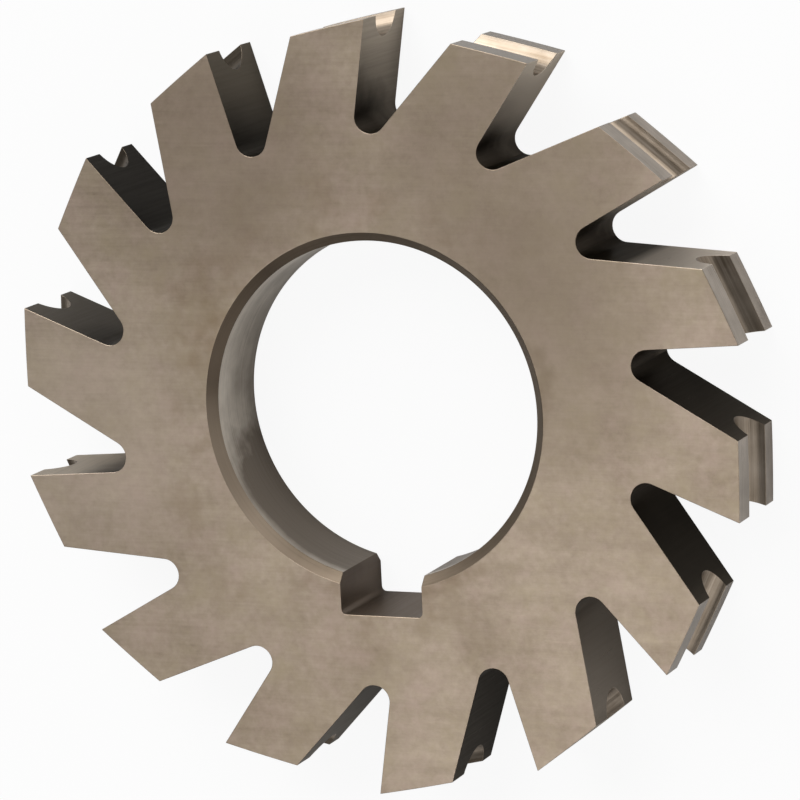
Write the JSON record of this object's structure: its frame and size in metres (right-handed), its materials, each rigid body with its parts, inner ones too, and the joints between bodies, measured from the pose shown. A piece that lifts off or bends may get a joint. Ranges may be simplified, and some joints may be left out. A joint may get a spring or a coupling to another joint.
{
  "type": "concave radius milling cutter",
  "caption": "Flat round milling cutter with hooked, relieved teeth round a keyed bore. A shallow round groove along every tooth cuts a rounded edge on the work.",
  "frame": {"origin": "on the bore's axis, in the plane of the back face, on which the cutter lies", "axes": "+Z along the bore's axis towards the front face; the keyway is towards -Y, and seen from the front the teeth point clockwise"},
  "size_m": [0.057, 0.058, 0.0079],
  "materials": {
    "ground_steel": "surface-ground sides and bore, milled gullets left darker, relieved lands turned bright"
  },
  "bodies": {
    "root": {"concave_radius_cutter": "ground_steel"}
  },
  "joints": []
}
